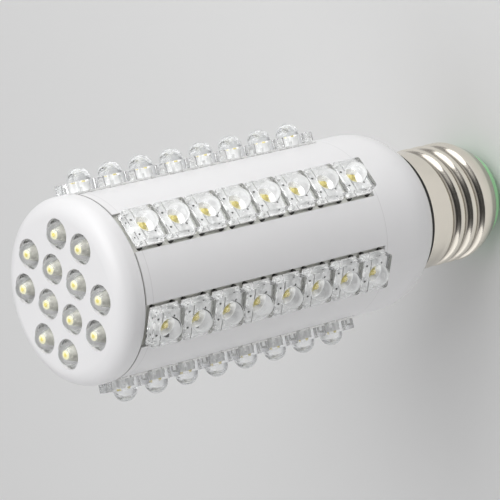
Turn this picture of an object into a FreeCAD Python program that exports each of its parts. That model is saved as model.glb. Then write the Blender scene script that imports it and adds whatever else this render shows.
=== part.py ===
import FreeCAD, Part
import math
import os

V = FreeCAD.Vector

# Corn led bulb on an E27 screw base. All sizes are in millimetres.
# The origin is the tip of the centre contact. +Z runs up the bulb's axis to the lit end cap.
# +X runs out through the middle of the first led strip.

# Driving dimensions of the body
body_radius = 19.2
wall = 2.4
joint_height = 109.3
face_thickness = 0.7
face_rounding = 3.6
rim_chamfer = 0.3
shoulder_radius = 12.5
rear_rim_step = 2.55
neck_step = 0.5
neck_wall = 1.5
floor_rise = 2.23
cavity_step = 0.5
cut_margin = 1.0

# Driving dimensions of the leds
strip_count = 6
led_side = 7.6
led_gap = 0.4
front_led_gap = 0.1
first_led_gap = 0.5
strip_foot = 12.0
lens_block = 2.15
dome_radius = 2.45
dome_lift = 0.2
dome_sides = 12
dome_angles = (25, 58)
lead_stand = 0.7
lead_plate = 0.4
lead_inset = 0.4
lead_split = 0.3
lead_side_stand_out = 0.2
front_lead_inset = 0.1
leg_spacing = 5.08
leg_width = 0.7
leg_thickness = 0.4
chip_side = 1.3
chip_thickness = 0.2
chip_rise = 0.8
chip_margin = 0.15
face_hole_gap = 0.72

# Driving dimensions of the boards
board_thickness = 1.0
board_depth = 1.2
board_lip = 0.65
slot_side_clearance = 0.85
slot_end_clearance = 0.2
slot_lip_clearance = 0.05
board_end_clearance = 0.1
groove_run = 0.6
cap_clearance = 0.1
lens_clearance = 0.05
ring_rise = 0.8
ring_width = 1.6
ring_taper = 1.2
ring_seat = 3.1

# Driving dimensions of the screw base
shell_radius = 13.05
shell_wall = 0.35
shell_tuck = 0.8
collar_end = 19.9
collar_length = 7.87
collar_run = 1.9
crest_rise = 0.1
thread_depth = 0.8
thread_pitch = 3.62
thread_foot = 2.5
shell_end_height = 4.3
shell_end_taper = 0.85
shell_end_lip = 0.9
shell_bend_rise = 2.7
insulator_taper = 0.6
insulator_height = 1.9
insulator_flange = 1.3
contact_radius = 4.6
contact_tip_radius = 2.6
contact_edge = 0.9
wire_radius = 0.5
wire_clearance = 0.5

# Driving dimensions of the driver. Places are (across, above the driver's floor).
driver_length = 34.0
driver_thickness = 1.6
driver_side_gap = 1.6
film_capacitor_size = (12.0, 6.0, 11.0)
film_capacitor_place = (-4.5, 11.0)
can_radius = 4.0
can_wall_gap = 1.65
can_place = (5.5, 24.0)
bridge_size = (8.0, 3.2, 6.5)
bridge_place = (0.0, 22.0)
bleed_resistor = (1.2, 7.0)
bleed_resistor_place = (-7.0, 8.0)
surge_resistor = (1.6, 9.0)
surge_resistor_place = (6.0, 8.0)
jumper_radius = 0.4
jumper_offset = 2.0
jumper_rise = 5.0
shell_wire_inset = 5.2
shell_wire_drop = 1.8
feed_start = 9.0
feed_step = 3.0
feed_rise = 11.0
front_feed_offset = 3.0
wire_sink = 0.6

# The screw base, from the contact's tip upward
crest_radius = shell_radius + crest_rise
valley_radius = crest_radius - thread_depth
shell_bore = valley_radius - shell_wall
shell_end_radius = valley_radius - shell_end_taper
shell_mouth_radius = shell_end_radius - shell_end_lip
insulator_radius = shell_mouth_radius - insulator_taper
wire_hole = wire_radius + wire_clearance
first_valley = collar_end - collar_run
thread_turns = int((first_valley - shell_end_height - thread_foot) / thread_pitch)
neck_radius = shell_radius - shell_wall
neck_height = collar_end + neck_step
bore_radius = neck_radius - neck_wall

# The housing, from its rear rim upward
inner_radius = body_radius - wall
rear_rim_radius = shell_radius + rear_rim_step
rear_rim_height = collar_end + collar_length
shoulder_centre = body_radius - shoulder_radius
shoulder_height = rear_rim_height + math.sqrt(shoulder_radius ** 2
                                              - (rear_rim_radius - shoulder_centre) ** 2)
inner_shoulder_radius = inner_radius - shoulder_centre
floor_height = rear_rim_height + floor_rise
floor_radius = shoulder_centre + math.sqrt(inner_shoulder_radius ** 2
                                           - (shoulder_height - floor_height) ** 2)

# The strips, from the joint with the cap downward, with as many leds as the tube has room for
led_pitch = led_side + led_gap
lead_height = lead_stand + lead_plate
led_height = lead_height + lens_block
lead_reach = led_side / 2 - lead_inset
seat_half = chip_side / 2 + chip_margin
chip_foot = lead_height + chip_rise
board_distance = body_radius - board_depth
board_inside = board_distance - board_thickness
slot_half_width = led_side / 2 + slot_side_clearance
board_half_width = slot_half_width + board_lip
first_led_height = joint_height - first_led_gap - led_side / 2
leds_per_strip = 1 + int((first_led_height - shoulder_height - strip_foot) / led_pitch)
last_led_height = first_led_height - (leds_per_strip - 1) * led_pitch
slot_rear = last_led_height - led_side / 2 - slot_end_clearance

# The front end, from the joint upward
front_pitch = led_side + front_led_gap
face_hole_radius = dome_radius + face_hole_gap
ring_top = joint_height + ring_rise
front_board_top = ring_top + board_thickness
face_height = front_board_top + led_height + lens_clearance + face_thickness
cavity_radius = inner_radius + cavity_step
front_board_radius = cavity_radius - cap_clearance
ring_inside = front_board_radius - ring_width

# The driver and its wires
driver_half_width = floor_radius - driver_side_gap
driver_top = floor_height + driver_length
can_reach = can_place[0] + can_radius
can_length = math.sqrt((inner_radius - can_wall_gap) ** 2 - can_reach ** 2) - driver_thickness / 2
jumper_height = slot_rear + jumper_rise
feed_height = driver_top + feed_rise

os.makedirs("parts", exist_ok=True)


def save(shape, node):
    shape.exportStep("parts/" + node + ".step")


def line(a, b):
    return Part.makeLine(V(a[0], 0, a[1]), V(b[0], 0, b[1]))


def arc(a, middle, b):
    return Part.Arc(V(a[0], 0, a[1]), V(middle[0], 0, middle[1]), V(b[0], 0, b[1])).toShape()


def path(points):
    """Straight edges through a list of (radius, height) points."""
    return [line(points[i], points[i + 1]) for i in range(len(points) - 1)]


def turned(edges):
    """A solid of revolution about the bulb's axis from a closed outline."""
    face = Part.Face(Part.Wire(edges))
    return face.revolve(V(0, 0, 0), V(0, 0, 1), 360)


def box(x0, x1, y0, y1, z0, z1):
    return Part.makeBox(x1 - x0, y1 - y0, z1 - z0, V(x0, y0, z0))


def on_circle(radius, centre_radius, centre_height, angle):
    """A point of an outline's arc, with its angle measured up from the horizontal."""
    a = math.radians(angle)
    return (centre_radius + radius * math.cos(a), centre_height + radius * math.sin(a))


# Plastic housing, with its six slots open at the front end

def make_housing():
    outer_end = (rear_rim_radius, rear_rim_height)
    outer_angle = -math.degrees(math.acos((rear_rim_radius - shoulder_centre) / shoulder_radius))
    outer_mid = on_circle(shoulder_radius, shoulder_centre, shoulder_height, outer_angle / 2)
    tuck_height = rear_rim_height + shell_tuck
    edges = [line((body_radius, joint_height), (body_radius, shoulder_height))]
    edges.append(arc((body_radius, shoulder_height), outer_mid, outer_end))
    edges += path([outer_end, (shell_radius, rear_rim_height), (shell_radius, tuck_height),
                   (neck_radius, tuck_height), (neck_radius, neck_height),
                   (bore_radius, neck_height), (bore_radius, floor_height),
                   (floor_radius, floor_height), (inner_radius, shoulder_height),
                   (inner_radius, joint_height - ring_seat - ring_taper),
                   (ring_inside, joint_height - ring_seat), (ring_inside, ring_top),
                   (front_board_radius, ring_top), (front_board_radius, joint_height),
                   (body_radius, joint_height)])
    housing = turned(edges)
    opening_top = joint_height - ring_seat - ring_taper
    outside = body_radius + cut_margin
    inside = math.sqrt(inner_radius ** 2 - slot_half_width ** 2) - cut_margin
    for k in range(strip_count):
        opening = box(inside, outside, -slot_half_width, slot_half_width, slot_rear, opening_top)
        channel = box(board_inside, outside, -slot_half_width, slot_half_width,
                      slot_rear, joint_height)
        groove_half = board_half_width + slot_lip_clearance
        groove = box(board_inside, board_distance + slot_lip_clearance, -groove_half, groove_half,
                     slot_rear - groove_run, joint_height)
        slot = opening.fuse([channel, groove])
        slot.rotate(V(0, 0, 0), V(0, 0, 1), k * 360 / strip_count)
        housing = housing.cut(slot)
    return housing.removeSplitter()


# Front cap with twelve round holes

def front_places():
    """Centres of the front leds: a square grid, kept where a led's far corner stays in the cap."""
    places = []
    half_count = int(cavity_radius / front_pitch) + 1
    steps = [(i + 0.5) * front_pitch for i in range(-half_count, half_count)]
    for x in steps:
        for y in steps:
            far_corner = math.hypot(abs(x) + led_side / 2, abs(y) + led_side / 2)
            if far_corner < front_board_radius:
                places.append((x, y))
    return places


def make_cap():
    centre_radius = body_radius - face_rounding
    centre_height = face_height - face_rounding
    inside = face_height - face_thickness
    edges = path([(cavity_radius, joint_height), (body_radius - rim_chamfer, joint_height),
                  (body_radius, joint_height + rim_chamfer), (body_radius, centre_height)])
    edges.append(arc((body_radius, centre_height),
                     on_circle(face_rounding, centre_radius, centre_height, 45),
                     (centre_radius, face_height)))
    edges += path([(centre_radius, face_height), (0, face_height), (0, inside),
                   (cavity_radius, inside), (cavity_radius, joint_height)])
    cap = turned(edges)
    holes = [Part.makeCylinder(face_hole_radius, 2 * face_thickness,
                               V(x, y, inside - face_thickness / 2)) for x, y in front_places()]
    return cap.cut(holes)


# One led: two lead plates on legs, a phosphor chip on a raised seat and a clear block with a dome.
# It stands on its board at height 0 with its axis along +Z and its lead plates along X.

def ring(radius, height):
    """The corners of a level polygon with the dome's count of sides."""
    corners = []
    for i in range(dome_sides):
        a = 2 * math.pi * i / dome_sides
        corners.append(V(radius * math.cos(a), radius * math.sin(a), height))
    return corners


def flat_face(corners):
    return Part.Face(Part.makePolygon(corners + [corners[0]]))


def make_seat():
    """The post on the cathode plate that lifts the chip to the middle of the clear block."""
    return box(-seat_half, seat_half, -seat_half, seat_half, lead_height, chip_foot)


def make_chip():
    half = chip_side / 2
    return box(-half, half, -half, half, chip_foot, chip_foot + chip_thickness)


def make_lens():
    """The clear block and its dome, cast round the seat and the chip."""
    half = led_side / 2
    block = box(-half, half, -half, half, lead_height, led_height)
    centre = led_height + dome_lift
    rings = [ring(dome_radius, led_height)]
    for angle in dome_angles:
        a = math.radians(angle)
        rings.append(ring(dome_radius * math.cos(a), centre + dome_radius * math.sin(a)))
    tip = V(0, 0, centre + dome_radius)
    faces = [flat_face(rings[0])]
    for low, high in zip(rings, rings[1:]):
        for i in range(dome_sides):
            faces.append(flat_face([low[i - 1], low[i], high[i], high[i - 1]]))
    for i in range(dome_sides):
        faces.append(flat_face([rings[-1][i - 1], rings[-1][i], tip]))
    dome = Part.Solid(Part.Shell(faces))
    return block.fuse(dome).removeSplitter().cut([make_seat(), make_chip()])


def on_legs(plate, end, half_length):
    """A lead plate with a leg down to the board at each of its two sides."""
    middle = end * leg_spacing / 2
    legs = []
    for side in (-1, 1):
        low, high = sorted((side * (half_length - leg_thickness), side * half_length))
        legs.append(box(low, high, middle - leg_width / 2, middle + leg_width / 2, 0, lead_stand))
    return plate.fuse(legs).removeSplitter()


def make_leads(half_length):
    """The cathode plate, with the seat that carries the chip, and the anode plate."""
    cathode = box(-half_length, half_length, -lead_reach, seat_half, lead_stand, lead_height)
    anode = box(-half_length, half_length, seat_half + lead_split, lead_reach,
                lead_stand, lead_height)
    return [on_legs(cathode.fuse(make_seat()), -1, half_length), on_legs(anode, 1, half_length)]


def group(shapes, moves):
    """Copies of some solids at each place of a list, as one compound of separate solids."""
    solids = []
    for move in moves:
        for shape in shapes:
            solids.append(move(shape.copy()))
    return Part.makeCompound(solids)


def front_moves():
    def mover(x, y):
        def move(shape):
            shape.translate(V(x, y, front_board_top))
            return shape
        return move
    return [mover(x, y) for x, y in front_places()]


def strip_moves(azimuth):
    """Turns a led's axis outward, stands it on its strip board and turns the strip to its place."""
    def mover(height):
        def move(shape):
            shape.rotate(V(0, 0, 0), V(1, 1, 1), 120)
            shape.translate(V(board_distance, 0, height))
            shape.rotate(V(0, 0, 0), V(0, 0, 1), azimuth)
            return shape
        return move
    return [mover(first_led_height - i * led_pitch) for i in range(leds_per_strip)]


def make_strip_board(azimuth):
    board = box(board_inside, board_distance, -board_half_width, board_half_width,
                slot_rear - groove_run + board_end_clearance, joint_height - board_end_clearance)
    board.rotate(V(0, 0, 0), V(0, 0, 1), azimuth)
    return board


# Screw base: rolled shell, insulator and centre contact

def make_shell():
    """The rolled sheet, with its thread as plain rings, which run true round the axis."""
    tuck_height = rear_rim_height + shell_tuck
    bend_height = shell_end_height + shell_bend_rise
    points = [(shell_radius, tuck_height), (shell_radius, collar_end)]
    for turn in range(thread_turns):
        valley = first_valley - turn * thread_pitch
        points.append((valley_radius, valley))
        points.append((crest_radius, valley - thread_pitch / 2))
    points += [(shell_end_radius, shell_end_height), (shell_mouth_radius, shell_end_height),
               (shell_mouth_radius, shell_end_height + shell_wall),
               (shell_end_radius - shell_wall, shell_end_height + shell_wall),
               (shell_bore, bend_height), (shell_bore, collar_end), (neck_radius, neck_height),
               (neck_radius, tuck_height), (shell_radius, tuck_height)]
    return turned(path(points))


def make_insulator():
    flange_bottom = shell_end_height + shell_wall
    flange_top = flange_bottom + insulator_flange
    flange_radius = shell_end_radius - shell_wall
    return turned(path([(wire_hole, insulator_height), (insulator_radius, insulator_height),
                        (shell_mouth_radius, shell_end_height), (shell_mouth_radius, flange_bottom),
                        (flange_radius, flange_bottom), (flange_radius, flange_top),
                        (wire_hole, flange_top), (wire_hole, insulator_height)]))


def make_contact():
    return turned(path([(0, 0), (contact_tip_radius, 0), (contact_radius, contact_edge),
                        (contact_radius, insulator_height), (0, insulator_height), (0, 0)]))


# Driver circuit inside the housing: a board on edge with its parts, and plain straight wires

def make_driver_board():
    half = driver_thickness / 2
    return box(-driver_half_width, driver_half_width, -half, half, floor_height, driver_top)


def block_on_driver(size, place, side):
    """A block on the driver board. Side 1 is the +Y face and side -1 the -Y face."""
    width, depth, height = size
    x, rise = place
    z = floor_height + rise
    near = driver_thickness / 2
    low, high = sorted((side * near, side * (near + depth)))
    return box(x - width / 2, x + width / 2, low, high, z - height / 2, z + height / 2)


def round_on_driver(radius, length, place, side):
    x, rise = place
    start = V(x, side * driver_thickness / 2, floor_height + rise)
    return Part.makeCylinder(radius, length, start, V(0, side, 0))


def wire(start, end, radius):
    run = end - start
    return Part.makeCylinder(radius, run.Length, start, run)


def turned_point(radial, tangential, height, azimuth):
    a = math.radians(azimuth)
    return V(radial * math.cos(a) - tangential * math.sin(a),
             radial * math.sin(a) + tangential * math.cos(a), height)


def trimmed_wire(start, end, radius, carriers):
    """A straight wire from one carrier's face to another's, trimmed flush to both."""
    run = end - start
    reach = run * (wire_sink / run.Length)
    whole = wire(start - reach, end + reach, radius).cut(carriers)
    return max(whole.Solids, key=lambda solid: solid.Volume)


def make_jumpers(boards):
    """A wire behind the boards from each strip to the next."""
    wires = []
    step = 360 / strip_count
    for k in range(strip_count - 1):
        start = turned_point(board_inside, jumper_offset, jumper_height, k * step)
        end = turned_point(board_inside, -jumper_offset, jumper_height, (k + 1) * step)
        wires.append(trimmed_wire(start, end, jumper_radius, [boards[k], boards[k + 1]]))
    return wires


def make_strip_feeds(driver_board, boards):
    """Two wires from the driver board's upper edge to the first and the last strip."""
    wires = []
    for x, k in ((feed_start, 0), (feed_start - feed_step, strip_count - 1)):
        start = V(x, 0, driver_top)
        end = turned_point(board_inside, 0, feed_height, k * 360 / strip_count)
        wires.append(trimmed_wire(start, end, wire_radius, [driver_board, boards[k]]))
    return wires


save(make_housing(), "body_housing")
save(make_cap(), "front_cap")

front_board = Part.makeCylinder(front_board_radius, board_thickness, V(0, 0, ring_top))
save(front_board, "front_board")
save(group(make_leads(led_side / 2 - front_lead_inset), front_moves()), "front_led_leads")
save(group([make_chip()], front_moves()), "front_led_chips")
save(group([make_lens()], front_moves()), "front_led_lenses")

strip_boards = []
for strip in range(strip_count):
    turn = strip * 360 / strip_count
    name = str(strip + 1)
    strip_leads = make_leads(led_side / 2 + lead_side_stand_out)
    strip_boards.append(make_strip_board(turn))
    save(strip_boards[-1], "strip_board_" + name)
    save(group(strip_leads, strip_moves(turn)), "strip_led_leads_" + name)
    save(group([make_chip()], strip_moves(turn)), "strip_led_chips_" + name)
    save(group([make_lens()], strip_moves(turn)), "strip_led_lenses_" + name)

screw_shell = make_shell()
save(screw_shell, "screw_shell")
save(make_insulator(), "base_insulator")
save(make_contact(), "centre_contact")

driver_board = make_driver_board()
save(driver_board, "driver_board")
save(block_on_driver(film_capacitor_size, film_capacitor_place, 1), "film_capacitor")
save(round_on_driver(can_radius, can_length, can_place, 1), "smoothing_capacitor")
save(block_on_driver(bridge_size, bridge_place, -1), "bridge_rectifier")
save(round_on_driver(*bleed_resistor, bleed_resistor_place, -1), "bleed_resistor")
save(round_on_driver(*surge_resistor, surge_resistor_place, -1), "surge_resistor")
save(wire(V(0, 0, insulator_height), V(0, 0, floor_height), wire_radius), "contact_wire")
save(trimmed_wire(V(bore_radius - shell_wire_inset, 0, floor_height),
                  V(shell_bore, 0, first_valley - shell_wire_drop),
                  wire_radius, [driver_board, screw_shell]), "shell_wire")
save(Part.makeCompound(make_jumpers(strip_boards)), "strip_jumper_wires")
save(Part.makeCompound(make_strip_feeds(driver_board, strip_boards)), "strip_feed_wires")
front_feeds = [wire(V(x, 0, driver_top), V(x, 0, ring_top), wire_radius)
               for x in (-front_feed_offset, front_feed_offset)]
save(Part.makeCompound(front_feeds), "front_feed_wires")
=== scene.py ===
# %% [markdown]
# # A corn led bulb
# This lesson dresses a lamp that is nearly all small repeated things. Sixty clear leds stand
# in six slots of a white plastic tube and behind a round cap, and a rolled metal screw base
# carries the lot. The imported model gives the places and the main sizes, so most new pieces
# are worked out from the box of the piece that they stand for.

# %% Open the frame
import bmesh
import bpy
import math
from mathutils import Matrix, Vector


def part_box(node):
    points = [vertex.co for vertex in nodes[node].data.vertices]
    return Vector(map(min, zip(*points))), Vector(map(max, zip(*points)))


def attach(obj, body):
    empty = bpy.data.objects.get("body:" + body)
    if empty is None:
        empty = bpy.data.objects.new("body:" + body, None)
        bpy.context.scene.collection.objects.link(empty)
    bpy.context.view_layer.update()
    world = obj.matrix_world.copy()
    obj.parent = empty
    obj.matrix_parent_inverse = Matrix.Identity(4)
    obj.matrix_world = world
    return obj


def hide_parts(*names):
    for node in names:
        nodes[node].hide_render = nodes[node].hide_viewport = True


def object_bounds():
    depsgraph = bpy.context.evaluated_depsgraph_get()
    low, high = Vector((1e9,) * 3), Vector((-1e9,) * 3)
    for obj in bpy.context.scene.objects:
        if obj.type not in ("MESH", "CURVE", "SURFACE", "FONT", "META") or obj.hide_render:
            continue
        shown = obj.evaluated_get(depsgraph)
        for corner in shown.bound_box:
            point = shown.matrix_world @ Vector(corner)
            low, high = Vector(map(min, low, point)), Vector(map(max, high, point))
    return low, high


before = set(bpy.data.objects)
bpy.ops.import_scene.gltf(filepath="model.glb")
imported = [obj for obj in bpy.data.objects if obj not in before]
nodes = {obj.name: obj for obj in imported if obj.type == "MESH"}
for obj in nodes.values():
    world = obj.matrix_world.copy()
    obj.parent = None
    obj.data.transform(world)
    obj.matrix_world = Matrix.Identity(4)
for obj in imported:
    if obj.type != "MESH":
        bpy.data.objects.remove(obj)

MM = 0.001
cad_low, cad_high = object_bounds()
print("pieces in the frame:", len(nodes))
print("size in mm:", [round((b - a) / MM, 1) for a, b in zip(cad_low, cad_high)])

# %% [markdown]
# ## Reading sizes from the frame
# Only the side of a led's block has to be known by heart, because a row's box covers eight
# blocks at once. Everything else here is a difference between two boxes: the pitch of a row,
# the distance of a board from the axis, the height of the face. That way a change to the
# model moves the dressing with it.

# %% Sizes of the leds and the body, in millimetres
LED_SIDE = 7.6
LEDS_IN_ROW = 8
LEDS_ACROSS_FACE = 4
STRIPS = 6


def box_mm(node):
    """The lowest and highest corner of a node, in millimetres."""
    low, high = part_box(node)
    return Vector(low) / MM, Vector(high) / MM


row_low, row_high = box_mm("strip_led_lenses_1")
face_low, face_high = box_mm("front_led_lenses")
row_pitch = (row_high.z - row_low.z - LED_SIDE) / (LEDS_IN_ROW - 1)
face_pitch = (face_high.x - face_low.x - LED_SIDE) / (LEDS_ACROSS_FACE - 1)
board_distance = box_mm("strip_board_1")[1].x
block_foot = row_low.x - board_distance
led_reach = row_high.x - board_distance
chip_low, chip_top = (corner.x - board_distance for corner in box_mm("strip_led_chips_1"))
face_board_top = face_low.z - block_foot
joint_height = box_mm("front_cap")[0].z
print("row pitch", round(row_pitch, 3), "face pitch", round(face_pitch, 3))
print("board at", round(board_distance, 2), "led stands out", round(led_reach, 2))

# %% [markdown]
# ## Putting sixty leds in their places
# A led is drawn once, standing on its board with its axis up. A matrix then carries it to
# each place. On a strip the axis has to point outward, so the three axes are swapped round
# first, the led is pushed out to the board and the strip is turned about the bulb.

# %% Matrices for every led
OUTWARD = Matrix(((0, 0, 1, 0), (1, 0, 0, 0), (0, 1, 0, 0), (0, 0, 0, 1)))


def strip_places(strip):
    """One matrix for each led of a strip, in millimetres."""
    turn = Matrix.Rotation(math.tau * strip / STRIPS, 4, "Z")
    highest = row_high.z - LED_SIDE / 2
    heights = [highest - i * row_pitch for i in range(LEDS_IN_ROW)]
    return [turn @ Matrix.Translation((board_distance, 0, h)) @ OUTWARD for h in heights]


def face_places():
    """One matrix for each led behind the cap: a square grid without its corners."""
    middle = (LEDS_ACROSS_FACE - 1) / 2
    steps = [i - middle for i in range(LEDS_ACROSS_FACE)]
    kept = [(x, y) for x in steps for y in steps if abs(x) + abs(y) < 2 * middle]
    return [Matrix.Translation((x * face_pitch, y * face_pitch, face_board_top)) for x, y in kept]


strip_keys = [str(strip + 1) for strip in range(STRIPS)]
led_places = {"front": face_places()}
for strip, key in enumerate(strip_keys):
    led_places[key] = strip_places(strip)
print("leds:", sum(len(places) for places in led_places.values()))

# %% [markdown]
# ## From a form to a piece
# A form is a bmesh in millimetres. Most forms here are round, so each is an outline spun
# about the Z axis. A shape that comes many times is made once and copied to its places. The
# last helper turns a form into a piece: it scales the bmesh to metres, leaves the object at
# the origin and lets the piece ride on the bulb's only body.

# %% Round forms
MERGE_BELOW = 1e-5


def spun(points, steps, closed=False):
    """A surface of revolution about the Z axis from (radius, height) points."""
    bm = bmesh.new()
    verts = [bm.verts.new((r, 0, z)) for r, z in points]
    edges = [bm.edges.new(pair) for pair in zip(verts, verts[1:])]
    if closed:
        edges.append(bm.edges.new((verts[-1], verts[0])))
    bmesh.ops.spin(bm, geom=verts + edges, cent=(0, 0, 0), axis=(0, 0, 1), dvec=(0, 0, 0),
                   angle=math.tau, steps=steps, use_merge=True)
    bmesh.ops.remove_doubles(bm, verts=bm.verts, dist=MERGE_BELOW)
    bmesh.ops.recalc_face_normals(bm, faces=bm.faces)
    return bm


print("points closer than", MERGE_BELOW, "mm are merged")

# %% Copies of a form, and the piece
SMOOTH_BELOW = math.radians(40)


def repeated(form, places):
    """A bmesh with one copy of a form at each place."""
    unit = bpy.data.meshes.new("unit")
    form.to_mesh(unit)
    form.free()
    bm = bmesh.new()
    for place in places:
        before = len(bm.verts)
        bm.from_mesh(unit)
        bm.verts.ensure_lookup_table()
        bmesh.ops.transform(bm, matrix=place, verts=bm.verts[before:])
    bpy.data.meshes.remove(unit)
    return bm


def add_piece(bm, name, smooth_below=SMOOTH_BELOW):
    """Scale a bmesh from millimetres to metres and make it a piece on the root body."""
    bmesh.ops.scale(bm, vec=(MM, MM, MM), verts=bm.verts)
    mesh = bpy.data.meshes.new(name)
    bm.to_mesh(mesh)
    bm.free()
    mesh.shade_smooth()
    mesh.set_sharp_from_angle(angle=smooth_below)
    piece = bpy.data.objects.new(name, mesh)
    bpy.context.scene.collection.objects.link(piece)
    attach(piece, "root")
    return piece


print("edges under", round(math.degrees(SMOOTH_BELOW)), "degrees are smooth")

# %% [markdown]
# ## Shader groups
# The bulb has few finishes, but each varies a little over its surface. Three effects are
# shared, so each is a node group with named sockets: an even mottle that shifts a colour, a
# fine grain that gives a height for a Bump node, and a thin line round the body. Groups put
# out only colours and values; the Principled shader stays in each material. All patterns
# read Object coordinates, which are metres, so a scale of 900 means clouds of about 1 mm.

# %% A new group
COLOUR = "NodeSocketColor"
VALUE = "NodeSocketFloat"


def new_group(name, inputs, outputs):
    """An empty shader group. An input has a kind and a starting value, an output a kind."""
    tree = bpy.data.node_groups.new(name, "ShaderNodeTree")
    for label, kind, value in inputs:
        socket = tree.interface.new_socket(name=label, in_out="INPUT", socket_type=kind)
        socket.default_value = value
    for label, kind in outputs:
        tree.interface.new_socket(name=label, in_out="OUTPUT", socket_type=kind)
    return tree, tree.nodes.new("NodeGroupInput"), tree.nodes.new("NodeGroupOutput")


print("group sockets:", COLOUR, VALUE)

# %% Math and noise


def feed(tree, socket, value):
    """Link another node's output to a socket, or set the socket's own value."""
    if isinstance(value, bpy.types.NodeSocket):
        tree.links.new(value, socket)
    else:
        socket.default_value = value


def math_node(tree, operation, *values, clamp=False):
    """A Math node whose inputs are numbers or sockets."""
    node = tree.nodes.new("ShaderNodeMath")
    node.operation = operation
    node.use_clamp = clamp
    for socket, value in zip(node.inputs, values):
        feed(tree, socket, value)
    return node.outputs[0]


def noise(tree, scale, detail):
    """The value of a Noise node on Object coordinates."""
    coords = tree.nodes.new("ShaderNodeTexCoord")
    node = tree.nodes.new("ShaderNodeTexNoise")
    node.inputs["Detail"].default_value = detail
    feed(tree, node.inputs["Scale"], scale)
    tree.links.new(coords.outputs["Object"], node.inputs["Vector"])
    return node.outputs["Fac"]


print("math and noise helpers ready")

# %% The mottle group


def make_mottle():
    """Shifts a colour between a dark and a light version of itself in soft clouds."""
    tree, given, out = new_group(
        "Mottle",
        [("Colour", COLOUR, (0.8, 0.8, 0.8, 1)), ("Amount", VALUE, 0.05), ("Scale", VALUE, 200.0)],
        [("Colour", COLOUR), ("Mask", VALUE)])
    clouds = noise(tree, given.outputs["Scale"], 4)
    swing = math_node(tree, "SUBTRACT", clouds, 0.5)
    shift = math_node(tree, "MULTIPLY", swing, given.outputs["Amount"])
    gain = math_node(tree, "MULTIPLY_ADD", shift, 2.0, 1.0)
    scale = tree.nodes.new("ShaderNodeVectorMath")
    scale.operation = "SCALE"
    tree.links.new(given.outputs["Colour"], scale.inputs[0])
    tree.links.new(gain, scale.inputs["Scale"])
    tree.links.new(scale.outputs[0], out.inputs["Colour"])
    tree.links.new(clouds, out.inputs["Mask"])
    return tree


mottle_group = make_mottle()
print("group:", mottle_group.name)

# %% The grain group


def make_grain():
    """A fine height for a Bump node: a soft orange peel with a sharper grain on it."""
    tree, given, out = new_group(
        "Grain",
        [("Peel scale", VALUE, 900.0), ("Grain scale", VALUE, 5000.0), ("Grain share", VALUE, 0.4)],
        [("Height", VALUE)])
    peel = noise(tree, given.outputs["Peel scale"], 2)
    grain = noise(tree, given.outputs["Grain scale"], 2)
    fine = math_node(tree, "MULTIPLY", grain, given.outputs["Grain share"])
    total = math_node(tree, "ADD", peel, fine)
    tree.links.new(total, out.inputs["Height"])
    return tree


grain_group = make_grain()
print("group:", grain_group.name)

# %% The line group


def make_ring_line():
    """A mask that is 1 on a thin line round the bulb at one height and 0 elsewhere."""
    tree, given, out = new_group(
        "Ring line",
        [("Height", VALUE, 0.1), ("Half width", VALUE, 0.0002)],
        [("Mask", VALUE)])
    coords = tree.nodes.new("ShaderNodeTexCoord")
    split = tree.nodes.new("ShaderNodeSeparateXYZ")
    tree.links.new(coords.outputs["Object"], split.inputs[0])
    away = math_node(tree, "SUBTRACT", split.outputs["Z"], given.outputs["Height"])
    distance = math_node(tree, "ABSOLUTE", away)
    share = math_node(tree, "DIVIDE", distance, given.outputs["Half width"])
    mask = math_node(tree, "SUBTRACT", 1.0, share, clamp=True)
    tree.links.new(mask, out.inputs["Mask"])
    return tree


ring_line_group = make_ring_line()
print("group:", ring_line_group.name)

# %% [markdown]
# ## Materials
# Each material starts from one helper that sets the plain numbers on the shader's own
# sockets, so that they survive an export. What varies over the surface is linked after that.

# %% Material helpers


def new_material(name, colour, roughness, metallic=0.0, **plain):
    """A material with a Principled shader. Its other sockets are named with underscores."""
    material = bpy.data.materials.new(name)
    material.use_nodes = True
    shader = material.node_tree.nodes["Principled BSDF"]
    shader.inputs["Base Color"].default_value = (*colour, 1)
    shader.inputs["Roughness"].default_value = roughness
    shader.inputs["Metallic"].default_value = metallic
    for label, value in plain.items():
        shader.inputs[label.replace("_", " ")].default_value = value
    return material, material.node_tree, shader


def place_group(tree, group, **values):
    """A group placed in a material, with its inputs named with underscores."""
    node = tree.nodes.new("ShaderNodeGroup")
    node.node_tree = group
    for label, value in values.items():
        node.inputs[label.replace("_", " ")].default_value = value
    return node


def dress(piece, material):
    """Give a piece one material."""
    piece.data.materials.clear()
    piece.data.materials.append(material)


print("material helpers ready")

# %% Mottle and grain on a material


def add_mottle(tree, shader, amount, scale):
    """Clouds on the base colour. Gives back the group, whose Mask can drive more."""
    node = place_group(tree, mottle_group, Amount=amount, Scale=scale,
                       Colour=tuple(shader.inputs["Base Color"].default_value))
    tree.links.new(node.outputs["Colour"], shader.inputs["Base Color"])
    return node


def add_grain(tree, shader, peel, grain, share, height):
    """Grain as bump. The height is the grain's real height in millimetres."""
    node = place_group(tree, grain_group, Peel_scale=peel, Grain_scale=grain, Grain_share=share)
    bump = tree.nodes.new("ShaderNodeBump")
    bump.inputs["Strength"].default_value = 1.0
    bump.inputs["Distance"].default_value = height * MM
    tree.links.new(node.outputs["Height"], bump.inputs["Height"])
    tree.links.new(bump.outputs["Normal"], shader.inputs["Normal"])


print("mottle and grain helpers ready")

# %% Roughness and mixed colours


def map_range(tree, value, given, wanted):
    """Stretch one range of a value to another, and hold it at the ends."""
    node = tree.nodes.new("ShaderNodeMapRange")
    for label, number in zip(("From Min", "From Max", "To Min", "To Max"), (*given, *wanted)):
        node.inputs[label].default_value = number
    tree.links.new(value, node.inputs["Value"])
    return node.outputs["Result"]


def vary_roughness(tree, shader, mask, low, high):
    """Let a mask drive the roughness between two numbers."""
    tree.links.new(map_range(tree, mask, (0, 1), (low, high)), shader.inputs["Roughness"])


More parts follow.
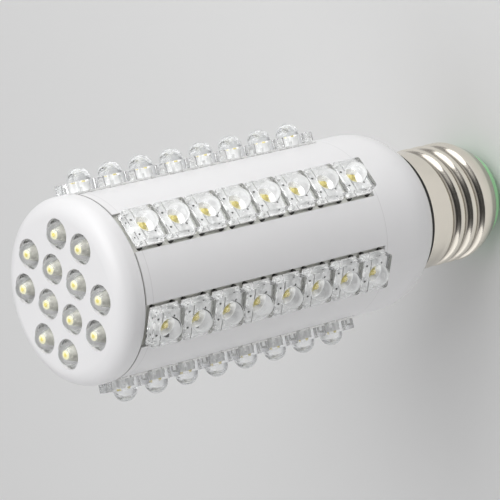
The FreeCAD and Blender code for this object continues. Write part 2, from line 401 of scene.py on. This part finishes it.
def mix_colour(tree, factor, first, second, blend="MIX"):
    """A Mix node for colours. The node keeps its colour sockets after those of other kinds."""
    node = tree.nodes.new("ShaderNodeMix")
    node.data_type = "RGBA"
    node.blend_type = blend
    for index, value in ((0, factor), (6, first), (7, second)):
        feed(tree, node.inputs[index], value)
    return node.outputs[2]


print("roughness and colour helpers ready")

# %% [markdown]
# ## White plastic
# The housing and the cap are moulded in a white plastic with a soft shine. Their joint is a
# thin dark line, and two fainter hairlines go round the body: one close behind the joint and
# one where the slots end. Cutting such fine grooves would cost many faces, so they are masks
# in the material, which darken the colour at three heights. The two hairlines are painted
# shade, the shade that the fine grooves would hold.

# %% White plastic
LINE_BEHIND_JOINT = 1.8
LINE_AT_SLOT_END = 44.4
LINE_HALF_WIDTH = 0.12
LINE_SHADE = 0.3
JOINT_HALF_WIDTH = 0.2
JOINT_SHADE = 0.85
LINE_COLOUR = (0.35, 0.34, 0.33, 1)


def ring_mask(tree, height, half_width):
    """The mask of one line round the body, from sizes in millimetres."""
    line = place_group(tree, ring_line_group, Height=height * MM, Half_width=half_width * MM)
    return line.outputs["Mask"]


def make_white_plastic():
    material, tree, shader = new_material("white plastic", (0.825, 0.82, 0.825), 0.34,
                                          Specular_IOR_Level=0.45)
    mottle = add_mottle(tree, shader, 0.02, 60)
    vary_roughness(tree, shader, mottle.outputs["Mask"], 0.28, 0.42)
    behind = ring_mask(tree, joint_height - LINE_BEHIND_JOINT, LINE_HALF_WIDTH)
    slot_end = ring_mask(tree, LINE_AT_SLOT_END, LINE_HALF_WIDTH)
    joint = ring_mask(tree, joint_height, JOINT_HALF_WIDTH)
    # Painted shade: the two hairlines darken the colour where fine grooves would be shaded.
    faint = math_node(tree, "MULTIPLY", math_node(tree, "MAXIMUM", behind, slot_end), LINE_SHADE)
    strong = math_node(tree, "MULTIPLY", joint, JOINT_SHADE)
    shade = math_node(tree, "MAXIMUM", faint, strong)
    darker = mix_colour(tree, shade, mottle.outputs["Colour"], LINE_COLOUR)
    tree.links.new(darker, shader.inputs["Base Color"])
    add_grain(tree, shader, peel=700, grain=4000, share=0.4, height=0.006)
    return material


white_plastic = make_white_plastic()
for name in ("body_housing", "front_cap"):
    dress(nodes[name], white_plastic)
print("dressed:", white_plastic.name)

# %% [markdown]
# ## Clear leds
# A led of this kind is one casting of clear resin: a square block with a dome. The block's
# edges are a little round, so they catch thin lines of light, and the dome has to be smooth.
# The block is a scaled cube with bevelled edges. The dome is a quarter arc spun round the
# axis, and the flat top between them is filled as one flat face with a round hole. The resin
# is cast round its leads, so its foot reaches a hair below their tops.

# %% The dome of a led
DOME_RADIUS = 2.45
DOME_STEPS = 28
ARC_STEPS = 8
BLOCK_HEIGHT = 2.15
block_top = block_foot + BLOCK_HEIGHT
dome_centre = led_reach - DOME_RADIUS


def dome_form():
    """A dome on a short upright wall, open at the block's top."""
    quarter = [math.pi / 2 * i / ARC_STEPS for i in range(ARC_STEPS + 1)]
    outline = [(DOME_RADIUS, block_top)]
    outline += [(DOME_RADIUS * math.cos(a), dome_centre + DOME_RADIUS * math.sin(a)) for a in quarter]
    return spun(outline, DOME_STEPS)


print("a dome starts", round(dome_centre - block_top, 2), "mm over its block")

# %% The block under it
UPRIGHT_ROUNDING = 0.55
UPRIGHT_SEGMENTS = 3
RIM_ROUNDING = 0.18
RIM_SEGMENTS = 2
POTTING = 0.03
HAIR = 0.01


def bevel(bm, edges, offset, segments):
    bmesh.ops.bevel(bm, geom=edges, offset=offset, offset_type="OFFSET", segments=segments,
                    profile=0.5, affect="EDGES", material=-1)


def flat_top(bm):
    """The block's flat top: the face with more than four corners at that height."""
    return [f for f in bm.faces if len(f.verts) > 4 and f.calc_center_median().z > block_top - HAIR]


def lens_form():
    """A clear block with its dome, closed all round."""
    bm = dome_form()
    cube = bmesh.ops.create_cube(bm, size=1)["verts"]
    depth = BLOCK_HEIGHT + POTTING
    bmesh.ops.scale(bm, vec=(LED_SIDE, LED_SIDE, depth), verts=cube)
    bmesh.ops.translate(bm, vec=(0, 0, block_top - depth / 2), verts=cube)
    corners = set(cube)
    uprights = [e for e in bm.edges if e.verts[0] in corners
                and abs(e.verts[0].co.z - e.verts[1].co.z) > BLOCK_HEIGHT / 2]
    bevel(bm, uprights, UPRIGHT_ROUNDING, UPRIGHT_SEGMENTS)
    bevel(bm, list(flat_top(bm)[0].edges), RIM_ROUNDING, RIM_SEGMENTS)
    bmesh.ops.delete(bm, geom=flat_top(bm), context="FACES_ONLY")
    rims = [e for e in bm.edges if e.is_boundary]
    bmesh.ops.triangle_fill(bm, edges=rims, use_beauty=True, use_dissolve=False)
    bmesh.ops.recalc_face_normals(bm, faces=bm.faces)
    return bm


trial = lens_form()
print("a led has", len(trial.faces), "faces and", sum(e.is_boundary for e in trial.edges), "open edges")
trial.free()

# %% [markdown]
# ## Clear resin
# The resin is plain glass to the shader, with a very slight unevenness that makes its
# reflections swim. A transparent solid still throws a full shadow, which would turn the metal
# inside nearly black, while real resin lets the light in. So the clear pieces throw none.

# %% Clear resin and its sixty leds


def led_node(kind, key):
    """The name of the model's node of one kind, for the front leds or for one strip."""
    return "front_led_" + kind if key == "front" else "strip_led_" + kind + "_" + key


def add_led_piece(form, name, key, material):
    """One piece with a copy of a form at each led of a group."""
    piece = add_piece(repeated(form, led_places[key]), name + "_" + key)
    dress(piece, material)
    return piece


def make_clear_resin():
    material, tree, shader = new_material("clear resin", (0.97, 0.98, 0.99), 0.03,
                                          IOR=1.5, Transmission_Weight=1.0)
    vary_roughness(tree, shader, noise(tree, 900, 3), 0.0, 0.05)
    add_grain(tree, shader, peel=500, grain=2600, share=0.2, height=0.012)
    return material


clear_resin = make_clear_resin()
for key in led_places:
    lens = add_led_piece(lens_form(), "clear_leds", key, clear_resin)
    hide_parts(led_node("lenses", key))
    lens.visible_shadow = False
print("clear leds in", len(led_places), "groups")

# %% [markdown]
# ## What shines inside a led
# Under each dome a small metal cup throws the light forward. The chip lies at its bottom
# under a drop of phosphor, which looks cream where it is thin and yellow in a bead over the
# chip. Cup, drop and bead are round, so each is an outline spun round the led's axis. The
# front leds have a narrow, tall post, because their beads are seen high up in the domes.

# %% The cup
CUP_STEPS = 20
CUP_FOOT = 1.16
CUP_FLOOR = 0.6
CUP_LIP = 0.06
# Radius and depth of the hollow, how high its floor is lifted, radius of the phosphor drop,
# and radius and rise of the bead.
STRIP_CUP = {"mouth": 1.15, "depth": 0.5, "lift": 0.1, "drop": 0.86, "bead": 0.5, "rise": 0.78}
FRONT_CUP = {"mouth": 0.72, "depth": 0.05, "lift": 2.1, "drop": 0.7, "bead": 0.38, "rise": 0.42}


def cup_form(cup):
    """A post with a hollow in its top, which holds the chip and its phosphor."""
    floor = chip_top + cup["lift"]
    rim = floor + cup["depth"]
    mouth = cup["mouth"]
    outline = [(0, block_foot), (CUP_FOOT, block_foot), (CUP_FOOT, chip_low), (mouth + CUP_LIP, rim),
               (mouth, rim), ((CUP_FLOOR + mouth) / 2, floor + cup["depth"] / 2), (CUP_FLOOR, floor),
               (0, floor)]
    return spun(outline, CUP_STEPS)


print("the strips' chips lie", round(dome_centre - chip_top, 2), "mm below the domes' centres")

# %% The drop of phosphor and the bead over the chip
DROP_RISE = 0.22
DROP_PROFILE = ((1, 0), (0.93, 0.5), (0.6, 0.9), (0, 1))
BEAD_ARC = (0, 20, 40, 60)
HOLLOW_SHARE = 0.3
HOLLOW_DEPTH = 0.12


def drop_form(cup):
    """A shallow drop of phosphor that fills the cup from the chip up."""
    top = chip_top + cup["lift"]
    outline = [(0, chip_low), (CUP_FLOOR, chip_low), (CUP_FLOOR, top)]
    outline += [(cup["drop"] * across, top + DROP_RISE * up) for across, up in DROP_PROFILE]
    return spun(outline, CUP_STEPS)


def bead_form(cup):
    """The round bead over the chip, with a small hollow in its top."""
    low = chip_top + cup["lift"]
    radius = cup["bead"]
    angles = [math.radians(degrees) for degrees in BEAD_ARC]
    outline = [(0, low)]
    outline += [(radius * math.cos(a), low + cup["rise"] * math.sin(a)) for a in angles]
    hollow = outline[-1][1] - HOLLOW_DEPTH
    outline += [(radius * HOLLOW_SHARE, hollow), (0, hollow)]
    return spun(outline, CUP_STEPS)


for cup in (STRIP_CUP, FRONT_CUP):
    print("phosphor reaches", round(chip_top + cup["lift"] + DROP_RISE, 2), "mm over the board")

# %% [markdown]
# ## Legs and punched holes
# The four flat legs of a led start inside the block, close to its two long sides, where their
# upper ends show through the resin. The lead plates are punched, so that the resin can grip
# them, and the holes read as small dark dots. A leg's end is a scaled cube. A hole is too
# small to be worth cutting, so it is a thin dark disc: painted shade in place of the hole.

# %% Legs and punched holes
LEG_SPACING = 5.08
LEG_WIDTH = 0.7
LEG_THICKNESS = 0.3
LEG_RISE = 0.9
HOLE_RADIUS = 0.22
HOLE_THICKNESS = 0.04
HOLE_ALONG = 1.95
HOLE_ACROSS = 1.75
ROUND_SIDES = 10


def at_corners(form, across, along, height):
    """Four copies of a form, one in each quarter of a led."""
    corners = [(side * across, end * along, height) for side in (-1, 1) for end in (-1, 1)]
    return repeated(form, [Matrix.Translation(corner) for corner in corners])


def leg_form():
    """The upper ends of four flat legs, just inside the block's two long sides."""
    bm = bmesh.new()
    bmesh.ops.create_cube(bm, size=1)
    bmesh.ops.scale(bm, vec=(LEG_THICKNESS, LEG_WIDTH, LEG_RISE), verts=bm.verts)
    return at_corners(bm, LED_SIDE / 2 - 2 * LEG_THICKNESS, LEG_SPACING / 2, block_foot + LEG_RISE / 2)


def plate_hole_form():
    """Four small dark discs on the lead plates, painted shade where the punched holes are."""
    bm = bmesh.new()
    bmesh.ops.create_cone(bm, cap_ends=True, segments=ROUND_SIDES, depth=HOLE_THICKNESS,
                          radius1=HOLE_RADIUS, radius2=HOLE_RADIUS)
    return at_corners(bm, HOLE_ACROSS, HOLE_ALONG, block_foot + HOLE_THICKNESS / 2)


print("legs stand", LEG_SPACING, "mm apart along a strip")

# %% [markdown]
# ## Tinned metal and phosphor
# Lead plates, legs and cups are tinned, which is bright but never an even mirror: its clouds
# shift both the colour and the roughness. Phosphor is a fine powder in resin, so it is matt
# and grainy, pale where it is thin and a strong yellow over the chip.

# %% Finishes inside a led


def make_tinned_metal(name, colour, metallic, amount, height):
    """Tin with clouds of a given amount and grain of a given height."""
    material, tree, shader = new_material(name, colour, 0.2, metallic=metallic)
    mottle = add_mottle(tree, shader, amount, 1400)
    vary_roughness(tree, shader, mottle.outputs["Mask"], 0.12, 0.35)
    add_grain(tree, shader, peel=1300, grain=4000, share=0.4, height=height)
    return material


def make_phosphor(name, colour, amount):
    """Matt powder in resin, with clouds of a given amount."""
    material, tree, shader = new_material(name, colour, 0.55)
    add_mottle(tree, shader, amount, 2500)
    add_grain(tree, shader, peel=3000, grain=9000, share=0.5, height=0.01)
    return material


# Painted shade: the dark finish of the holes in the lead plates and of the collars round the legs'
# feet.
def make_painted_shade():
    material, tree, shader = new_material("dark hole", (0.02, 0.018, 0.015), 0.6)
    add_mottle(tree, shader, 0.3, 1500)
    return material


tinned_metal = make_tinned_metal("tinned metal", (0.95, 0.95, 0.94), 0.4, 0.3, 0.1)
bright_cup = make_tinned_metal("bright cup", (0.93, 0.93, 0.92), 0.2, 0.10, 0.01)
satin_cup = make_tinned_metal("satin cup", (0.80, 0.79, 0.71), 0.25, 0.45, 0.05)
cream_phosphor = make_phosphor("thin phosphor", (0.90, 0.85, 0.55), 0.08)
strip_phosphor = make_phosphor("phosphor over a strip chip", (0.64, 0.55, 0.19), 0.12)
front_phosphor = make_phosphor("phosphor over a front chip", (0.86, 0.76, 0.24), 0.12)
painted_shade = make_painted_shade()
print("metals:", [m.name for m in (tinned_metal, bright_cup, satin_cup)])
print("phosphors:", [m.name for m in (cream_phosphor, strip_phosphor, front_phosphor)])

# %% The insides of all leds


def fill_leds(key, sizes, cup_metal, phosphor):
    """Everything inside the clear blocks of one group of leds."""
    add_led_piece(cup_form(sizes), "led_cups", key, cup_metal)
    add_led_piece(leg_form(), "led_legs", key, tinned_metal)
    add_led_piece(plate_hole_form(), "frame_holes", key, painted_shade)
    drop = add_led_piece(drop_form(sizes), "phosphor", key, cream_phosphor)
    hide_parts(led_node("chips", key))
    add_led_piece(bead_form(sizes), "led_chips", key, phosphor)
    dress(nodes[led_node("leads", key)], tinned_metal)


fill_leds("front", FRONT_CUP, satin_cup, front_phosphor)
for key in strip_keys:
    fill_leds(key, STRIP_CUP, bright_cup, strip_phosphor)
print("led insides in", len(led_places), "groups")

# %% [markdown]
# ## The boards
# The boards are plain laminate in a pale olive grey. Beside each led two legs a side end in
# dark holes in the shade of the block's edge, and those pairs of dark spots are what the eye
# reads along the slots. They are painted shade: short dark collars round the legs' feet, which
# stand on the board and open out a little.

# %% Boards and the dark leg feet
FOOT_RADIUS = 0.42
FOOT_FLARE = 0.55
FOOT_RISE = 0.66


def make_board_laminate():
    material, tree, shader = new_material("board laminate", (0.80, 0.80, 0.75), 0.5)
    mottle = add_mottle(tree, shader, 0.12, 400)
    vary_roughness(tree, shader, mottle.outputs["Mask"], 0.38, 0.6)
    add_grain(tree, shader, peel=2000, grain=7000, share=0.5, height=0.01)
    return material


def foot_form():
    """Four dark collars of painted shade, half under the block's edge."""
    bm = bmesh.new()
    bmesh.ops.create_cone(bm, cap_ends=True, segments=ROUND_SIDES, depth=FOOT_RISE,
                          radius1=FOOT_RADIUS, radius2=FOOT_FLARE)
    return at_corners(bm, LED_SIDE / 2, LEG_SPACING / 2, FOOT_RISE / 2)


board_laminate = make_board_laminate()
for name in ["front_board"] + ["strip_board_" + key for key in strip_keys]:
    dress(nodes[name], board_laminate)
# Painted shade: dark collars round the legs' feet under the blocks' edges.
for key in strip_keys:
    add_led_piece(foot_form(), "painted_leg_shade", key, painted_shade)
print("dressed boards:", len(strip_keys) + 1)

# %% [markdown]
# ## The screw shell
# The screw shell is one thin sheet, rolled into a round thread. A thread is a wave that
# climbs one pitch in a turn, so a plain turned sheet is made first, with close rings where
# the thread runs, and every point is then pushed in by that wave. The wave fades out at the
# collar and at the lower end, as the rolling wheels leave it. Solidify gives the sheet its
# thickness.

# %% The rolled wave
THREAD_PITCH = 3.62
THREAD_DEPTH = 0.85
THREAD_TOP = 20.6
THREAD_END = 8.3
TOP_FADE = 1.6
END_FADE = 1.2
VALLEY_HEIGHT = 18.0
VALLEY_AZIMUTH = math.radians(32)
VALLEY_SHARPNESS = 1.3


def fade(value, start, end):
    """0 at start and before, 1 at end and past it, with a smooth run between."""
    t = min(max((value - start) / (end - start), 0), 1)
    return t * t * (3 - 2 * t)


def thread_push(height, azimuth):
    """How far the rolled wave pushes the sheet inward, from 0 at a crest."""
    turns = (height - VALLEY_HEIGHT) / THREAD_PITCH - (azimuth - VALLEY_AZIMUTH) / math.tau
    wave = (0.5 + 0.5 * math.cos(math.tau * turns)) ** VALLEY_SHARPNESS
    strength = fade(height, THREAD_TOP, THREAD_TOP - TOP_FADE)
    strength *= fade(height, THREAD_END, THREAD_END + END_FADE)
    return THREAD_DEPTH * wave * strength


print("thread turns:", round((THREAD_TOP - THREAD_END) / THREAD_PITCH, 1))

# %% The sheet's outline
COLLAR_RADIUS = 13.05
CREST_RADIUS = 13.13
CREST_FADE = 2
END_RADIUS = 11.5
MOUTH_RADIUS = 10.6
END_HEIGHT = 4.3
THREAD_RING = 0.2
TAPER_RINGS = 10
TAPER_BULGE = 1.35
shell_top = box_mm("screw_shell")[1].z


def shell_outline():
    """Collar, thread without its wave, tapered end and inward lip, from the top down."""
    rings = int((THREAD_TOP - THREAD_END) / THREAD_RING)
    points = [(COLLAR_RADIUS, shell_top), (COLLAR_RADIUS, (shell_top + THREAD_TOP) / 2)]
    for i in range(rings + 1):
        height = THREAD_TOP - (THREAD_TOP - THREAD_END) * i / rings
        swell = (CREST_RADIUS - COLLAR_RADIUS) * fade(height, THREAD_TOP, THREAD_TOP - CREST_FADE)
        points.append((COLLAR_RADIUS + swell, height))
    for i in range(1, TAPER_RINGS):
        t = i / TAPER_RINGS
        points.append((CREST_RADIUS - (CREST_RADIUS - END_RADIUS) * t ** TAPER_BULGE,
                       THREAD_END - (THREAD_END - END_HEIGHT) * t))
    points += [(END_RADIUS, END_HEIGHT), ((END_RADIUS + MOUTH_RADIUS) / 2, END_HEIGHT),
               (MOUTH_RADIUS, END_HEIGHT)]
    return points


print("outline points:", len(shell_outline()))

# %% The shell itself
SHEET = 0.35
SHELL_STEPS = 144
SHELL_SMOOTH_BELOW = math.radians(50)
WALL_SLOPE = 0.3


def shell_form():
    """The turned sheet with its thread pushed in and all faces outward."""
    bm = spun(shell_outline(), SHELL_STEPS)
    for v in bm.verts:
        if THREAD_END < v.co.z < THREAD_TOP:
            push = thread_push(v.co.z, math.atan2(v.co.y, v.co.x))
            radius = math.hypot(v.co.x, v.co.y)
            v.co.x *= 1 - push / radius
            v.co.y *= 1 - push / radius
    walls = [f for f in bm.faces if abs(f.normal.z) < WALL_SLOPE]
    if sum(f.normal.dot(f.calc_center_median()) for f in walls) < 0:
        bmesh.ops.reverse_faces(bm, faces=bm.faces)
    return bm


shell = add_piece(shell_form(), "rolled_shell", SHELL_SMOOTH_BELOW)
sheet = shell.modifiers.new("sheet", "SOLIDIFY")
sheet.thickness = SHEET * MM
sheet.offset = -1
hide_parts("screw_shell")
print("shell faces:", len(shell.data.polygons))

# %% [markdown]
# ## The shadow under the rear rim
# Where the collar goes up into the housing, a black line of shade runs round it. It is painted
# shade: a dark ring put under the rear rim, four corners spun into a ring with square edges,
# because only its lower edge shows. The finish is the plain one that the small and hidden parts
# share.

# %% The painted shadow ring
REAR_RIM_HEIGHT = 27.76
SHADOW_RING_INNER = 13.07
SHADOW_RING_OUTER = 14.9
SHADOW_RING_DEPTH = 1.35
shadow_ring_low = REAR_RIM_HEIGHT - SHADOW_RING_DEPTH


def make_plain(name, colour, roughness, scale):
    """A finish with a light mottle and grain, for small or hidden parts."""
    material, tree, shader = new_material(name, colour, roughness)
    add_mottle(tree, shader, 0.08, scale)
    add_grain(tree, shader, peel=1200, grain=6000, share=0.4, height=0.008)
    return material


def shadow_ring_form():
    """A dark ring under the housing's rear rim, round the collar: painted shade of the gap there."""
    corners = [(SHADOW_RING_INNER, REAR_RIM_HEIGHT), (SHADOW_RING_OUTER, REAR_RIM_HEIGHT),
               (SHADOW_RING_OUTER, shadow_ring_low), (SHADOW_RING_INNER, shadow_ring_low)]
    return spun(corners, SHELL_STEPS, closed=True)


# Painted shade: a dark ring stands in for the shadow gap under the rear rim.
shadow_ring = add_piece(shadow_ring_form(), "rear_shadow_ring")
dress(shadow_ring, make_plain("dark seal", (0.015, 0.013, 0.012), 0.6, 400))
print("seal faces:", len(shadow_ring.data.polygons))

# %% [markdown]
# ## Plated metal and the small parts of the base
# The shell is bright nickel over brass, so it is a little warm. The valleys of the thread are
# painted darker than its crests, as painted shade that stands in for their dark reflections,
# and a crest is simply further from the axis, so one Map Range on the radius gives the mask.

# %% Nickel
VALLEY_SHADE_START = 12.38
VALLEY_SHADE_END = 12.75
VALLEY_SHADE = 0.55
VALLEY_SHADE_COLOUR = (0.12, 0.10, 0.08, 1)


def radius_socket(tree):
    """The distance from the bulb's axis, from Object coordinates."""
    coords = tree.nodes.new("ShaderNodeTexCoord")
    flat = tree.nodes.new("ShaderNodeVectorMath")
    flat.operation = "MULTIPLY"
    flat.inputs[1].default_value = (1, 1, 0)
    length = tree.nodes.new("ShaderNodeVectorMath")
    length.operation = "LENGTH"
    tree.links.new(coords.outputs["Object"], flat.inputs[0])
    tree.links.new(flat.outputs[0], length.inputs[0])
    return length.outputs["Value"]


def make_nickel():
    material, tree, shader = new_material("nickel plate", (0.86, 0.81, 0.72), 0.2, metallic=1.0)
    mottle = add_mottle(tree, shader, 0.06, 300)
    shading = (VALLEY_SHADE_START * MM, VALLEY_SHADE_END * MM)
    # Painted shade: the thread's valleys get a darker colour in place of their dark reflections.
    valley_shade = map_range(tree, radius_socket(tree), shading, (VALLEY_SHADE, 0.0))
    darker = mix_colour(tree, valley_shade, mottle.outputs["Colour"], VALLEY_SHADE_COLOUR)
    tree.links.new(darker, shader.inputs["Base Color"])
    vary_roughness(tree, shader, mottle.outputs["Mask"], 0.13, 0.24)
    add_grain(tree, shader, peel=500, grain=5000, share=0.2, height=0.004)
    return material


nickel = make_nickel()
dress(shell, nickel)
dress(nodes["centre_contact"], nickel)
dress(nodes["base_insulator"], make_plain("green insulator", (0.38, 0.76, 0.40), 0.3, 300))
print("dressed the base with", nickel.name)

# %% [markdown]
# ## The circuit inside
# Nothing of the circuit shows from outside, but each part still gets its own finish.

# %% Finishes of the hidden parts
HIDDEN = {
    "driver_board": make_plain("driver laminate", (0.16, 0.30, 0.12), 0.45, 400),
    "film_capacitor": make_plain("capacitor case", (0.62, 0.30, 0.04), 0.35, 500),
    "smoothing_capacitor": make_plain("capacitor sleeve", (0.02, 0.02, 0.03), 0.35, 500),
    "bridge_rectifier": make_plain("black plastic", (0.02, 0.02, 0.02), 0.5, 600),
    "bleed_resistor": make_plain("resistor body", (0.62, 0.52, 0.36), 0.5, 600),
    "contact_wire": make_plain("white wire", (0.75, 0.74, 0.70), 0.4, 500),
    "strip_feed_wires": make_plain("red wire", (0.45, 0.03, 0.02), 0.4, 500),
}
ALIKE = {
    "surge_resistor": "bleed_resistor", "shell_wire": "contact_wire",
    "strip_jumper_wires": "contact_wire", "front_feed_wires": "strip_feed_wires",
}
for name, material in HIDDEN.items():
    dress(nodes[name], material)
for name, other in ALIKE.items():
    dress(nodes[name], HIDDEN[other])
print("dressed", len(HIDDEN) + len(ALIKE), "hidden parts")

# %% [markdown]
# ## The floor
# The bulb stands on its contact over a plain pale floor. The floor is one flat face just
# under the contact's tip, large enough that its edge stays far behind the bulb.

# %% Floor
FLOOR_SIZE = 4.0
FLOOR_GAP = 0.0004


def make_floor():
    bm = bmesh.new()
    bmesh.ops.create_grid(bm, x_segments=1, y_segments=1, size=FLOOR_SIZE / 2)
    bmesh.ops.translate(bm, verts=bm.verts, vec=(0, 0, cad_low.z - FLOOR_GAP))
    mesh = bpy.data.meshes.new("floor")
    bm.to_mesh(mesh)
    bm.free()
    floor = bpy.data.objects.new("floor", mesh)
    bpy.context.scene.collection.objects.link(floor)
    material, tree, shader = new_material("floor paper", (0.72, 0.72, 0.715), 0.8)
    add_mottle(tree, shader, 0.01, 12)
    dress(floor, material)


make_floor()
print("floor at", round((cad_low.z - FLOOR_GAP) / MM, 2), "mm")

# %% [markdown]
# ## The sky
# Clear resin and bright metal look like what they mirror, so the sky is more than one grey.
# It is a soft grey dome, brighter overhead and at the horizon. On the camera's side it turns
# into a dark room with a bright ceiling, as in a photographer's studio, and that gives the
# domes their dark edges. Both are grey Color Ramps over the height of a direction.

# %% The sky's two ramps
# Each stop is the height of a direction, from -1 to 1, and the brightness there.
OPEN_SKY = ((-0.05, 0.35), (0.03, 0.45), (0.12, 0.24), (0.75, 0.48), (1.0, 0.50))
ROOM_SKY = ((-0.03, 0.40), (0.03, 0.55), (0.09, 0.04), (0.62, 0.05), (0.76, 0.70))


def ramp(tree, factor, stops):
    """A grey Color Ramp through stops of height and brightness."""
    node = tree.nodes.new("ShaderNodeValToRGB")
    elements = node.color_ramp.elements
    while len(elements) < len(stops):
        elements.new(0.5)
    for element, (height, value) in zip(elements, stops):
        element.position = height / 2 + 0.5
        element.color = (value, value, value, 1)
    tree.links.new(factor, node.inputs["Fac"])
    return node.outputs["Color"]


print("stops:", len(OPEN_SKY), "in the open sky,", len(ROOM_SKY), "in the room")

# %% Sky
ROOM_SIDE = (0.951, 0.309, 0.0)
ROOM_EDGE = (0.55, 0.78)
SKY_TINT = (0.985, 0.985, 1.0, 1)


def make_sky():
    """The open sky, and the room where a direction is near enough to the room's side."""
    world = bpy.data.worlds.new("sky")
    bpy.context.scene.world = world
    world.use_nodes = True
    tree = world.node_tree
    background = tree.nodes["Background"]
    direction = tree.nodes.new("ShaderNodeTexCoord").outputs["Generated"]
    split = tree.nodes.new("ShaderNodeSeparateXYZ")
    tree.links.new(direction, split.inputs[0])
    half = math_node(tree, "MULTIPLY_ADD", split.outputs["Z"], 0.5, 0.5)
    toward = tree.nodes.new("ShaderNodeVectorMath")
    toward.operation = "DOT_PRODUCT"
    toward.inputs[1].default_value = Vector(ROOM_SIDE).normalized()
    tree.links.new(direction, toward.inputs[0])
    room = map_range(tree, toward.outputs["Value"], ROOM_EDGE, (0, 1))
    grey = mix_colour(tree, room, ramp(tree, half, OPEN_SKY), ramp(tree, half, ROOM_SKY))
    tint = mix_colour(tree, 1.0, grey, SKY_TINT, "MULTIPLY")
    tree.links.new(tint, background.inputs["Color"])
    background.inputs["Strength"].default_value = 1.0


make_sky()
print("world:", bpy.context.scene.world.name)

# %% [markdown]
# ## The lamps
# Three large round lamps light the bulb softly. The key lamp stands above and to one side,
# with a second one below it, so that the face and one flank of the tube are bright, and the
# fill keeps the flank towards the camera a soft grey.

# %% Lamps
CENTRE = Vector((0, 0, 0.06))
LAMPS = {
    "key": {"place": (0.05, 0.45, 0.62), "size": 0.6, "power": 2.9},
    "low key": {"place": (-0.22, 0.65, 0.30), "size": 0.6, "power": 1.5},
    "fill": {"place": (0.25, -0.70, 0.40), "size": 1.2, "power": 2.8},
}


def add_lamp(name, place, size, power):
    """A round area lamp that shines on the middle of the bulb."""
    data = bpy.data.lights.new(name, "AREA")
    data.shape = "DISK"
    data.size = size
    data.energy = power
    lamp = bpy.data.objects.new(name, data)
    lamp.location = place
    lamp.rotation_mode = "QUATERNION"
    lamp.rotation_quaternion = (CENTRE - Vector(place)).to_track_quat("-Z", "Y")
    bpy.context.scene.collection.objects.link(lamp)


for name, lamp in LAMPS.items():
    add_lamp(name, **lamp)
bpy.context.scene.view_settings.view_transform = "Standard"
print("lamps:", list(LAMPS))

# %% [markdown]
# ## The camera
# The camera was found from the picture once: its place and its two image directions, all in
# the bulb's own frame. The long lens keeps the tube's sides nearly parallel.

# %% Camera
CAMERA_PLACE = (0.42197, 0.26372, 0.47463)
CAMERA_RIGHT = Vector((0.64838, 0.12680, -0.75068))
CAMERA_UP = Vector((-0.38809, 0.90335, -0.18261))
CAMERA_LENS = 222.99
SENSOR = 36.0

camera_data = bpy.data.cameras.new("camera")
camera_data.sensor_width = SENSOR
camera_data.lens = CAMERA_LENS
camera_data.clip_start = 0.05
camera_data.clip_end = 20
camera = bpy.data.objects.new("camera", camera_data)
right = CAMERA_RIGHT.normalized()
backward = right.cross(CAMERA_UP).normalized()
up = backward.cross(right)
turn = Matrix((right, up, backward)).transposed()
camera.matrix_world = Matrix.Translation(CAMERA_PLACE) @ turn.to_4x4()
bpy.context.scene.collection.objects.link(camera)
bpy.context.scene.camera = camera
print("camera at", [round(c, 3) for c in camera.location])
